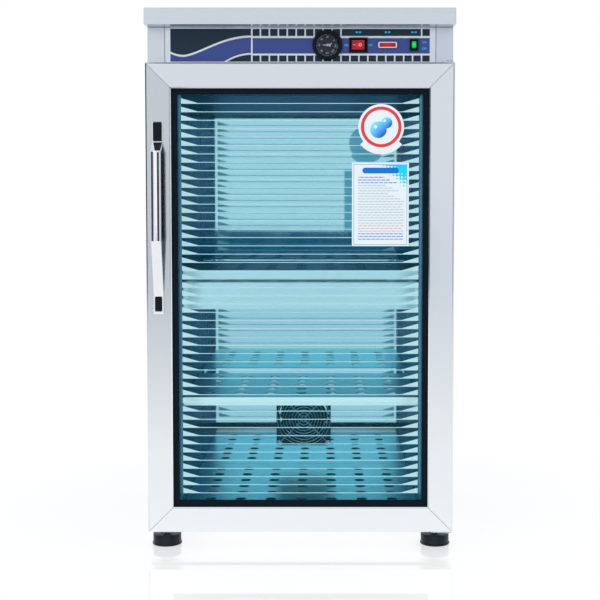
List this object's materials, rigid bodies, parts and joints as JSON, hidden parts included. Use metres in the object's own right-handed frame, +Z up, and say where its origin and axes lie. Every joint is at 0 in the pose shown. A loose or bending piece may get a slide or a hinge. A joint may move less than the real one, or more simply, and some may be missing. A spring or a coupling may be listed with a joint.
{
  "type": "ultraviolet cup sterilizer",
  "caption": "Free-standing steel cabinet with a hinged glass door, perforated shelves, ultraviolet lamps, a drying fan and a control panel with a dial and rocker switches.",
  "frame": {"origin": "on the floor under the middle of the whole object's box, handle and cord gland included", "axes": "+Z up, -Y towards the viewer of the door, +X the viewer's right"},
  "size_m": [0.448, 0.416, 0.79],
  "materials": {
    "satin_steel": "satin stainless sheet",
    "mirror_steel": "mirror-polished stainless sheet",
    "zinc_steel": "dull zinc-plated steel",
    "door_aluminium": "bright anodised",
    "chrome": "polished chrome plate",
    "bright_wire": "plated steel wire",
    "black_plastic": "fine-grained black moulding",
    "black_rubber": "matt black rubber",
    "tinted_glass": "blue-tinted toughened glass",
    "clear_lens": "clear lens",
    "overlay_print": "printed film in silver, violet and dark teal",
    "dial_black": "matt dial with white marks",
    "pointer_white": "white paint",
    "red_lens": "lit translucent red",
    "green_lens": "lit translucent green",
    "lamp_glass": "clear quartz tube with metal end caps",
    "white_enamel": "white enamel",
    "heater_sheath": "heat-darkened steel sheath",
    "ballast_steel": "grey varnished laminations",
    "nylon": "natural nylon"
  },
  "bodies": {
    "cabinet": {"top_cap": "satin_steel", "left_side_panel": "satin_steel", "right_side_panel": "satin_steel", "rear_panel": "satin_steel", "base_pan": "zinc_steel", "front_top_rail": "satin_steel", "front_bottom_rail": "satin_steel", "power_cord_gland": "black_plastic", "cavity_left_wall": "mirror_steel", "cavity_right_wall": "mirror_steel", "cavity_back_wall": "mirror_steel", "cavity_ceiling": "mirror_steel", "cavity_floor": "mirror_steel", "upper_shelf": "mirror_steel", "upper_shelf_left_support": "mirror_steel", "upper_shelf_right_support": "mirror_steel", "lower_shelf": "mirror_steel", "lower_shelf_left_support": "mirror_steel", "lower_shelf_right_support": "mirror_steel", "lamp_shield": "mirror_steel", "upper_lamp_fitting": "white_enamel", "upper_uv_lamp": "lamp_glass", "middle_lamp_fitting": "white_enamel", "middle_uv_lamp": "lamp_glass", "fan_frame": "black_plastic", "fan_guard": "bright_wire", "heater_element": "heater_sheath", "ballast": "ballast_steel", "terminal_block": "nylon", "fascia_panel": "satin_steel", "control_overlay": "overlay_print", "thermometer_case": "black_plastic", "thermometer_dial": "dial_black", "thermometer_lens": "clear_lens", "power_switch_housing": "black_plastic", "pilot_lamp_bezel": "chrome", "pilot_lamp_lens": "red_lens", "lamp_switch_housing": "black_plastic", "upper_hinge_bracket": "zinc_steel", "lower_hinge_bracket": "zinc_steel"},
    "door": {"door_left_stile": "door_aluminium", "door_right_stile": "door_aluminium", "door_top_rail": "door_aluminium", "door_bottom_rail": "door_aluminium", "door_glass": "tinted_glass", "glass_gasket": "black_rubber", "door_seal": "black_rubber", "door_magnet": "black_plastic", "door_handle": "chrome", "handle_upper_cover": "black_plastic", "handle_lower_cover": "black_plastic"},
    "power_rocker": {"power_switch_rocker": "red_lens"},
    "lamp_rocker": {"lamp_switch_rocker": "green_lens"},
    "pointer": {"thermometer_pointer": "pointer_white"},
    "fan_rotor": {"fan_impeller": "black_plastic"},
    "front_left_foot": {"front_left_foot": "black_rubber"},
    "front_right_foot": {"front_right_foot": "black_rubber"},
    "rear_left_foot": {"rear_left_foot": "black_rubber"},
    "rear_right_foot": {"rear_right_foot": "black_rubber"}
  },
  "joints": [
    {"name": "door_hinge", "type": "hinge", "parent": "cabinet", "child": "door", "pos_m": [0.2165, -0.162, 0.37], "axis": [0, 0, 1], "range_deg": [0, 115]},
    {"name": "power_rocker_tilt", "type": "hinge", "parent": "cabinet", "child": "power_rocker", "pos_m": [0.0846, -0.1454, 0.73985], "axis": [0, 0, 1], "range_deg": [0, 16]},
    {"name": "lamp_rocker_tilt", "type": "hinge", "parent": "cabinet", "child": "lamp_rocker", "pos_m": [0.1657, -0.1454, 0.73985], "axis": [1, 0, 0], "range_deg": [0, 16]},
    {"name": "pointer_turn", "type": "hinge", "parent": "cabinet", "child": "pointer", "pos_m": [0.0394, -0.1454, 0.73985], "axis": [0, 1, 0], "range_deg": [-45, 225]},
    {"name": "fan_spin", "type": "hinge", "parent": "cabinet", "child": "fan_rotor", "pos_m": [0, 0.122, 0.1425], "axis": [0, 1, 0], "continuous": true},
    {"name": "front_left_foot_turn", "type": "hinge", "parent": "cabinet", "child": "front_left_foot", "pos_m": [-0.2005, -0.132, 0.02], "axis": [0, 0, 1], "continuous": true},
    {"name": "front_right_foot_turn", "type": "hinge", "parent": "cabinet", "child": "front_right_foot", "pos_m": [0.2005, -0.132, 0.02], "axis": [0, 0, 1], "continuous": true},
    {"name": "rear_left_foot_turn", "type": "hinge", "parent": "cabinet", "child": "rear_left_foot", "pos_m": [-0.2005, 0.154, 0.02], "axis": [0, 0, 1], "continuous": true},
    {"name": "rear_right_foot_turn", "type": "hinge", "parent": "cabinet", "child": "rear_right_foot", "pos_m": [0.2005, 0.154, 0.02], "axis": [0, 0, 1], "continuous": true}
  ]
}
